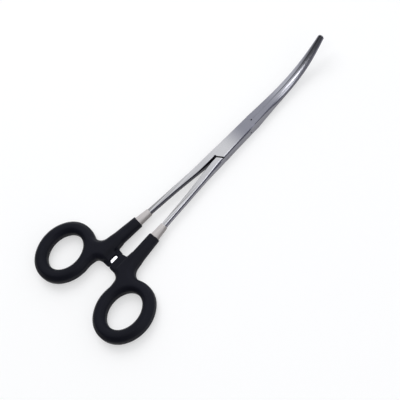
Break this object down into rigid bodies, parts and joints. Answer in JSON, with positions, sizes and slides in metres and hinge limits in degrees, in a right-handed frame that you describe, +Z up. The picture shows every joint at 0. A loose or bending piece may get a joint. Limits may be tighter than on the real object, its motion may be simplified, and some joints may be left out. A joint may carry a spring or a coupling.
{
  "type": "hemostat forceps",
  "caption": "Long curved clamping forceps with a box lock pivot, cross-serrated jaws, a ratchet catch between the shanks and coated finger rings.",
  "frame": {"origin": "centre of the box lock's lower flat face, on the pivot axis", "axes": "+Z up along the pivot axis, to the side that the jaw tips curve to; +Y from the lock to the jaw tips; +X to the side of the shank whose half passes through the lock's slot"},
  "size_m": [0.098, 0.2215, 0.018],
  "materials": {
    "instrument_steel": "satin ground stainless steel",
    "black_coating": "satin moulded black coating",
    "grey_sleeve": "semi-matte light grey tubing"
  },
  "bodies": {
    "female": {"female_half": "instrument_steel", "pivot_pin": "instrument_steel", "grip_cover_left": "black_coating", "inner_sleeve_left": "grey_sleeve"},
    "male": {"male_half": "instrument_steel", "grip_cover_right": "black_coating", "inner_sleeve_right": "grey_sleeve"}
  },
  "joints": [
    {"name": "lock_pivot", "type": "hinge", "parent": "female", "child": "male", "pos_m": [0, 0, 0.0029], "axis": [0, 0, 1], "range_deg": [0, 60]}
  ]
}
